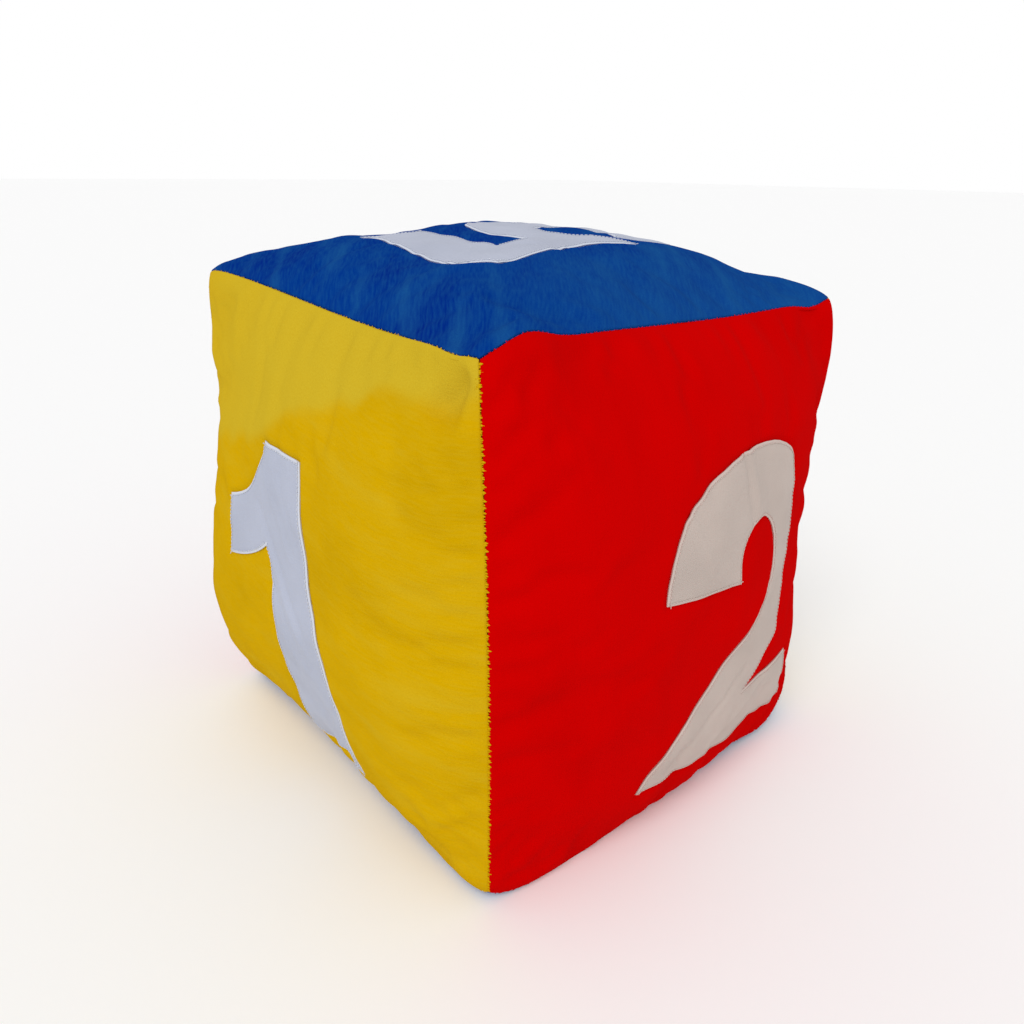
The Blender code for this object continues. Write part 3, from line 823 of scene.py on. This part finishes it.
def thicken(obj, thickness, material):
    """Give a cloth its thickness, towards the inside, and its material."""
    select_only(obj)
    solidify = obj.modifiers.new("solidify", "SOLIDIFY")
    solidify.thickness = thickness
    solidify.offset = -1
    bpy.ops.object.modifier_apply(modifier=solidify.name)
    obj.data.materials.clear()
    obj.data.materials.append(material)


def dress(obj, replaced=()):
    """A finished piece rides on the dice, and the plain solids that it replaces are hidden."""
    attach(obj, "root")
    for node in replaced:
        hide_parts(node)


def sew_panel(face):
    lines = len(cloth_lines)
    panel = new_object(bpy.ops.mesh.primitive_grid_add, x_subdivisions=lines - 1,
                       y_subdivisions=lines - 1, size=2)
    panel.name = panel.data.name = "plush_" + face
    column, row = grid_order(panel, lines)
    u, v = line_places[column], line_places[row]
    points = to_heart(dressed(face, u, v), np.maximum(line_sinks[column], line_sinks[row]))
    points[:, 2] = np.maximum(points[:, 2], 0)
    lay_vertices(panel, points)
    nap = panel.data.uv_layers.active
    nap.name = "nap"
    write_map(panel, nap, np.stack([u * HALF_EDGE, v * HALF_EDGE], -1))
    # bands of painted sheen where the pile stands up from brushing
    write_values(panel, "brushed_sheen", brushed_sheen(face, u, v))
    thicken(panel, PLUSH_THICKNESS, PLUSHES[FACES[face].colour])
    bpy.ops.object.shade_smooth()
    dress(panel, [face + "_panel"])
    return panel


panels = {face: sew_panel(face) for face in FACES}
print("faces in each panel:", {face: len(panel.data.polygons) for face, panel in panels.items()})

# %% [markdown]
# ## The cloth of the numerals
# The numerals are a smooth pale cloth, cool on most panels. On the red panel in view the same
# cloth is painted warmer, as a painted reflection of the red pile around it. Close up it is a
# plain weave: two sets of fine ribs, which cross. Waves on the numeral's own map make the ribs.

# %% Numeral cloth
RIB_SCALE = 170.0
RIB_WANDER = 0.4
CLOUD = ((14, 14, 1), 3.0)
CLOUD_RANGE = (0.35, 0.65)
WORN_SHARE = 0.90  # how dark the clouds are beside the cloth
RIB_SHARE = 0.10
RIM_RANGE = (0.0015, 0.0030)  # the pale rim fades over these distances from the edge
RIB_BUMP = (0.25, 0.0004)
CLOTH_FINISH = {"Roughness": 0.75, "Specular IOR Level": 0.2, "Sheen Weight": 0.05}


def woven(name, cloth, rim):
    """A plain weave with soft clouds and a pale rim."""
    material, tree, shader = start_material(name, CLOTH_FINISH)
    place = add_node(tree, "ShaderNodeUVMap", uv_map="weave").outputs[0]
    weave = add_node(tree, "ShaderNodeMath", operation="MULTIPLY")
    for number, way in enumerate(("X", "Y")):
        ribs = add_node(tree, "ShaderNodeTexWave", Scale=RIB_SCALE, Distortion=RIB_WANDER,
                        bands_direction=way)
        tree.links.new(place, ribs.inputs["Vector"])
        tree.links.new(ribs.outputs["Fac"], weave.inputs[number])
    cloud = noise_field(tree, place, *CLOUD)
    edge = add_node(tree, "ShaderNodeAttribute", attribute_name="edge_depth").outputs["Fac"]
    worn = tuple(x * WORN_SHARE for x in cloth[:3]) + (1,)
    colour = mix_colours(tree, spread(tree, cloud, *CLOUD_RANGE), cloth, worn)
    colour = mix_colours(tree, spread(tree, weave.outputs[0], 0.0, 1.0, 0.0, RIB_SHARE), colour, rim)
    colour = mix_colours(tree, spread(tree, edge, *RIM_RANGE, 1.0, 0.0), colour, rim)
    dye(tree, shader, colour, raised(tree, weave.outputs[0], *RIB_BUMP))
    return material


cool_cloth = woven("cool_numeral_cloth", (0.46, 0.49, 0.60, 1), (0.62, 0.65, 0.74, 1))
# the numeral cloth on the red panel is the same cloth, its colour and rim given a painted reflection of the
# red pile
red_reflection_cloth = woven("numeral_cloth_red_reflection", (0.55, 0.46, 0.41, 1), (0.60, 0.50, 0.45, 1))
cloths = {face: red_reflection_cloth if face == "right" else cool_cloth for face in FACES}
print("numeral cloths:", cool_cloth.name, red_reflection_cloth.name)

# %% [markdown]
# ## The six numerals
# Each numeral starts as a flat curve with its outline and is made a mesh. Inset runs a
# narrow border inside the outline, so that the edge can curl down, and bisect cuts the flat
# shape every few millimetres both ways, so that it can bend. Then each vertex is laid on
# the dressed panel, and Solidify gives the cloth its thickness.

# %% Cut and sew a numeral
CLOTH_CELL = 0.0027
NUMERAL_THICKNESS = 0.0014
NUMERAL_PROUD = 0.0022  # above the floor of its seat
EDGE_CURL = 0.0010
EDGE_WIDTH = 0.0020
STRAIGHT = 0.01  # a corner of less than this angle is taken out
SHARP = math.radians(50)
RUMPLE_HEIGHT = 0.0005
RUMPLE_SIZE = 0.022
RUMPLE_SEED = 6.2
CREASE_WIDTH = 0.0032
CREASE_GAIN = 1.7  # deepens all creases
# creases in a numeral's cloth: the two ends in its drawing box, and the height in tenths of
# a millimetre
CREASES = {
    "1": [((-2, 44), (13, 20), 7), ((6, 44), (17, 26), -6), ((-8, 32), (18, 0), -8),
          ((-1, 20), (20, -8), 8), ((1, 8), (18, -14), -7), ((3, -4), (20, -26), 6)],
    "2": [((-5, 49), (0, 28), -10), ((-2, 49), (3, 30), 8), ((-30, 38), (-20, 20), 6),
          ((-28, -44), (5, -22), -10), ((-10, -46), (22, -33), 9), ((5, -12), (16, 2), -7)],
    "5": [((-20, 48), (-5, 28), 6), ((-28, 10), (-14, 22), -6)],
}


def crease_height(digit, x, y):
    """How far the cloth of a numeral stands up at points of its drawing."""
    height = smooth_noise(flat_points(x, y), RUMPLE_SIZE, RUMPLE_SEED + int(digit), RUMPLE_HEIGHT)
    for start, end, amount in CREASES.get(digit, ()):
        start, end = np.array(start) / PARTS * NUMERAL_HEIGHT, np.array(end) / PARTS * NUMERAL_HEIGHT
        height = height + CREASE_GAIN * (amount / TENTHS) * ridge(x, y, start, end, CREASE_WIDTH)
    return height


def flat_numeral(digit, name):
    """A flat mesh of a numeral with a border and a grid of cuts."""
    curve = bpy.data.curves.new(name, "CURVE")
    curve.dimensions = "2D"
    curve.fill_mode = "FRONT"
    for loop in numeral_loops(digit):
        spline = curve.splines.new("POLY")
        spline.points.add(len(loop) - 1)
        flat = np.hstack([loop, np.zeros((len(loop), 1)), np.ones((len(loop), 1))])
        spline.points.foreach_set("co", flat.ravel())
        spline.use_cyclic_u = True
    numeral = bpy.data.objects.new(name, curve)
    bpy.context.scene.collection.objects.link(numeral)
    select_only(numeral)
    bpy.ops.object.convert(target="MESH")
    numeral = bpy.context.object
    numeral.data.name = name
    mode("EDIT")
    bpy.ops.mesh.select_all(action="SELECT")
    bpy.ops.mesh.remove_doubles(threshold=SAME_POINT)
    bpy.ops.mesh.dissolve_limited(angle_limit=STRAIGHT)
    bpy.ops.mesh.select_all(action="SELECT")
    bpy.ops.mesh.inset(thickness=EDGE_WIDTH, use_boundary=True)
    reach = NUMERAL_HEIGHT / 2
    for way in ((1, 0, 0), (0, 1, 0)):
        for cut in np.arange(CLOTH_CELL - reach, reach, CLOTH_CELL):
            bpy.ops.mesh.select_all(action="SELECT")
            bpy.ops.mesh.bisect(plane_co=(cut, cut, 0), plane_no=way)
    mode("OBJECT")
    return numeral


def sew_numeral(face):
    digit = FACES[face].digit
    numeral = flat_numeral(digit, "cloth_numeral_" + digit)
    flat = vertex_places(numeral)[:, :2]
    u, v = numeral_place(face, *flat.T)
    depth = np.maximum(outline_depth(face, u, v), 0)
    height = NUMERAL_PROUD - EDGE_CURL * np.exp(-depth / EDGE_WIDTH) + crease_height(digit, *flat.T)
    lay_vertices(numeral, dressed(face, u, v, height))
    write_map(numeral, numeral.data.uv_layers.new(name="weave"), flat)
    write_values(numeral, "edge_depth", depth)
    thicken(numeral, NUMERAL_THICKNESS, cloths[face])
    bpy.ops.object.shade_smooth_by_angle(angle=SHARP)
    dress(numeral, ["numeral_" + digit])
    return numeral


numerals = {face: sew_numeral(face) for face in FACES}
print("numerals:", [numeral.name for numeral in numerals.values()])

# %% [markdown]
# ## The filling
# Inside is one pillow of polyester fibre. It fills the cover right up to the backing and
# stays clear of the seam allowances. It starts as a cube, is subdivided, and each vertex is
# laid on the form a few millimetres under the panels.

# %% Filling
FILLING_CUTS = 47
FILLING_DEPTH = 0.0065
ALLOWANCE_ROOM = 0.016
ROOM_WIDTH = 0.014


def fill_cover():
    filling, flat = empty_cube("fibre_filling", FILLING_CUTS)
    points = np.zeros_like(flat)
    for face, mine, u, v in on_cube(flat):
        near_seam = np.exp(-(seam_gap(u, v) / ROOM_WIDTH) ** 2)
        room = FILLING_DEPTH + (ALLOWANCE_ROOM - FILLING_DEPTH) * near_seam
        hollow = np.minimum(relief(face, u, v), 0)
        surface = skin(face, u, v) + skin_normal(face, u, v) * hollow[:, None]
        points[mine] = to_heart(surface + HEART, room)
    lay_vertices(filling, points)
    bpy.ops.object.shade_smooth()
    return filling


filling = fill_cover()
fibre = cloudy("loose_fibre", (0.80, 0.79, 0.77, 1), (0.92, 0.92, 0.91, 1), cells=60, detail=5.0,
               strength=0.6, distance=0.002, roughness=1)
filling.data.materials.append(fibre)
dress(filling, ["fibre_stuffing"])
print("faces in the filling:", len(filling.data.polygons))

# %% [markdown]
# ## Overlock thread
# Inside each seam the two raw edges are bound together with overlock thread, which loops
# over them every few millimetres. One loop is modelled as a thin ring pulled long, and is
# then copied along the seam, each copy turned to follow it.

# %% Overlock loops
LOOP_PITCH = 0.0060
LOOP_LENGTH = 0.0040
LOOP_WIDTH = 0.0042
LOOP_SINK = SEAM_ALLOWANCE - 0.001  # from the seam to the middle of a loop
BOUND_SHARE = 0.86  # of the seam; the corners stay free


def copies(shape, spots):
    """Vertices and faces of many copies of a shape; each spot is a point and a 3 by 3 turn."""
    base = np.array([vert.co for vert in shape.data.vertices])
    faces = [tuple(poly.vertices) for poly in shape.data.polygons]
    points, joined = [], []
    for point, turn in spots:
        joined += [tuple(i + len(points) * len(base) for i in face) for face in faces]
        points.append(base @ turn.T + point)
    return np.concatenate(points), joined


def joined_piece(name, points, faces, material):
    mesh = bpy.data.meshes.new(name)
    mesh.from_pydata(points.tolist(), [], faces)
    mesh.materials.append(material)
    piece = bpy.data.objects.new(name, mesh)
    bpy.context.scene.collection.objects.link(piece)
    mesh.shade_smooth()
    return piece


def tucked_seam(start, end, along):
    """Points of a seam in the frame of the dice, its ends drawn in at the corners."""
    tuck = 1 - CORNER_TUCK * np.abs(along) ** CORNER_SHARPNESS
    return seam_line(start, end, along) * tuck[:, None] + HEART


def unit(vectors):
    return vectors / np.linalg.norm(vectors, axis=1, keepdims=True)


def frames_along(points):
    """For each point of a seam: the way along it, the way out from the heart and across."""
    along = unit(np.gradient(points, axis=0))
    out = points - HEART
    out = unit(out - along * np.sum(out * along, axis=1, keepdims=True))
    return along, out, np.cross(along, out)


SEAMS = {}
for one, two in combinations(FACES, 2):
    first, second = directions(one)[0], directions(two)[0]
    if first @ second == 0:
        way = np.cross(first, second)
        SEAMS[one + "_" + two] = (first + second - way, first + second + way)

thread = cloudy("overlock_thread", (0.74, 0.73, 0.70, 1), (0.88, 0.87, 0.84, 1), cells=400, detail=2.0,
                strength=0.4, distance=0.0003, roughness=0.6)
loop = new_object(bpy.ops.mesh.primitive_torus_add, major_segments=8, minor_segments=4,
                  major_radius=1.0, minor_radius=0.1)
loop.scale = (LOOP_WIDTH, LOOP_LENGTH, LOOP_WIDTH)
bpy.ops.object.transform_apply(scale=True)
steps = int(2 * HALF_EDGE * BOUND_SHARE / LOOP_PITCH)
for seam, (start, end) in SEAMS.items():
    line = tucked_seam(start, end, np.linspace(-BOUND_SHARE, BOUND_SHARE, steps))
    along, out, across = frames_along(line)
    spots = zip(to_heart(line, LOOP_SINK), np.stack([across, out, along], axis=2))
    binding = joined_piece("overlock_" + seam, *copies(loop, spots), thread)
    dress(binding, ["seam_binding_" + seam])
bpy.data.objects.remove(loop, do_unlink=True)
print("bound seams:", len(SEAMS))

# %% [markdown]
# ## Stitches round the numerals
# Each numeral is held by a row of small stitches just inside its edge. One stitch is a short
# six-sided cylinder sunk by half into the cloth. It is copied along every outline at an even
# pitch, each copy turned along the outline and laid on the cloth.

# %% Stitch round the numerals
STITCH_PITCH = 0.0034
STITCH_LENGTH = 0.0024
STITCH_RADIUS = 0.00035
STITCH_INSET = 0.0024


def even_places(loop, pitch):
    """Points along a closed outline at an even pitch, and the way along it at each."""
    closed = np.vstack([loop, loop[:1]])
    sides = np.diff(closed, axis=0)
    steps = np.linalg.norm(sides, axis=1)
    travelled = np.concatenate([[0], np.cumsum(steps)])
    spots = np.arange(0, travelled[-1] - pitch / 2, pitch)
    places = [np.interp(spots, travelled, line) for line in closed.T]
    piece = np.clip(np.searchsorted(travelled, spots, side="right") - 1, 0, len(steps) - 1)
    return np.stack(places, axis=1), sides[piece] / steps[piece, None]


def stitches_along(face, loop):
    """The spots of the stitches just inside one outline of a numeral."""
    edge, way = even_places(loop, STITCH_PITCH)
    inward = np.stack([-way[:, 1], way[:, 0]], axis=1)
    probe = numeral_place(face, *(edge + inward * STITCH_INSET).T)
    inward *= np.where(np.median(outline_depth(face, *probe)) > 0, 1, -1)
    ends = []
    for step in (-0.5, 0.5):
        x, y = (edge + inward * STITCH_INSET + way * step * STITCH_LENGTH).T
        u, v = numeral_place(face, x, y)
        height = NUMERAL_PROUD + crease_height(FACES[face].digit, x, y)
        ends.append((dressed(face, u, v, height), skin_normal(face, u, v)))
    (start, normal), (end, _) = ends
    along = unit(end - start)
    across = np.cross(normal, along)
    out = np.cross(along, across)
    return list(zip((start + end) / 2, np.stack([across, out, along], axis=2)))


stitch = new_object(bpy.ops.mesh.primitive_cylinder_add, vertices=6, radius=STITCH_RADIUS,
                    depth=STITCH_LENGTH)
for face in FACES:
    digit = FACES[face].digit
    loops = numeral_loops(digit)
    spots = sum((stitches_along(face, loop) for loop in loops), [])
    stitching = joined_piece("edge_stitching_" + digit, *copies(stitch, spots), cloths[face])
    dress(stitching)
bpy.data.objects.remove(stitch, do_unlink=True)

# %% [markdown]
# ## Pile along the seams
# Where two panels meet, the pile of each leans over the seam in small tufts, so no stitch
# shows and the border between two colours has fine teeth. One tuft is modelled: a narrow
# cone whose tip is drawn out and leans. It is copied along both sides of every seam, each
# copy a little different in size and lean, and each panel keeps the tufts of its colour.

# %% Tufts
TUFT_PITCH = 0.0013
TUFT_LENGTH = 0.0032
TUFT_WIDTH = 0.0011
TOOTH_PITCH = 0.0045  # the tufts gather into teeth this far apart
TUFT_ROOT = 0.0016  # how far beside the seam a tuft grows
ROOT_RANGE = (0.6, 1.4)  # of that distance
TUFT_SINK = 0.0016  # how far its root is sunk under the ridge of the seam
TUFT_REACH = 0.985  # of the seam; the very corners have none
TIP_SHIFT = (0, 0.25, 0.4)
TIP_SIZE = (0.3, 0.3, 1)
TUFT_SCATTER = 0.0012
TUFT_LEAN = (1.0, 1.4)
EVEN_SIZE = 0.85
TOOTH_SIZE = 0.22
SIZE_SCATTER = 0.06
FIRST_SHARE = 1.0  # the pile of a seam's first panel leans over that of its second
SECOND_SHARE = 0.7
BESIDE_TOP_SHARE = 0.6
chance = np.random.default_rng(7)


def tuft_shape():
    """A cone of pile, one unit long, whose tip is drawn out and leans over."""
    tuft = new_object(bpy.ops.mesh.primitive_cone_add, vertices=5, radius1=1, radius2=0.75,
                      depth=0.6, location=(0, 0, 0.3))
    mode("EDIT")
    bpy.ops.mesh.select_mode(type="FACE")
    bpy.ops.mesh.select_all(action="DESELECT")
    mode("OBJECT")
    for poly in tuft.data.polygons:
        poly.select = poly.normal.z > 0.9
    mode("EDIT")
    bpy.ops.mesh.extrude_region_move(TRANSFORM_OT_translate={"value": TIP_SHIFT})
    bpy.ops.transform.resize(value=TIP_SIZE)
    mode("OBJECT")
    bpy.ops.object.transform_apply(location=True)
    return tuft


def tuft_turns(along, out, across, lean, size):
    """For each tuft: the turn that stands it out of the seam and leans it across."""
    upright = out * np.cos(lean)[:, None] + across * np.sin(lean)[:, None]
    sideways = np.cross(upright, along)
    return np.stack([along * TUFT_WIDTH * size[:, None], sideways * TUFT_WIDTH * size[:, None],
                     upright * TUFT_LENGTH * size[:, None]], axis=2)


tuft = tuft_shape()
fringes = {face: [] for face in FACES}
count = int(2 * HALF_EDGE / TUFT_PITCH)
tooth = np.cos(np.arange(count) * TUFT_PITCH / TOOTH_PITCH * 2 * math.pi)
for seam, (start, end) in SEAMS.items():
    first, second = seam.split("_")
    for face, other, share in ((first, second, FIRST_SHARE), (second, first, SECOND_SHARE)):
        if other == "top":
            share = BESIDE_TOP_SHARE
        tuft_places = np.linspace(-TUFT_REACH, TUFT_REACH, count) + chance.normal(0, TUFT_SCATTER, count)
        line = tucked_seam(start, end, np.sort(tuft_places))
        along, out, across = frames_along(line)
        away = directions(other)[0] - directions(face)[0]
        across = across * np.sign(across @ away)[:, None]
        lean = chance.uniform(*TUFT_LEAN, count)
        size = share * (EVEN_SIZE + TOOTH_SIZE * tooth + chance.normal(0, SIZE_SCATTER, count))
        roots = line - across * TUFT_ROOT * chance.uniform(*ROOT_RANGE, count)[:, None] - out * TUFT_SINK
        fringes[face] += list(zip(roots, tuft_turns(along, out, across, lean, size)))
for face, spots in fringes.items():
    points, joined = copies(tuft, spots)
    points[:, 2] = np.maximum(points[:, 2], 0)
    fringe = joined_piece("seam_pile_" + face, points, joined, PLUSHES[FACES[face].colour])
    dress(fringe)
bpy.data.objects.remove(tuft, do_unlink=True)
print("tufts on each panel:", {face: len(spots) for face, spots in fringes.items()})
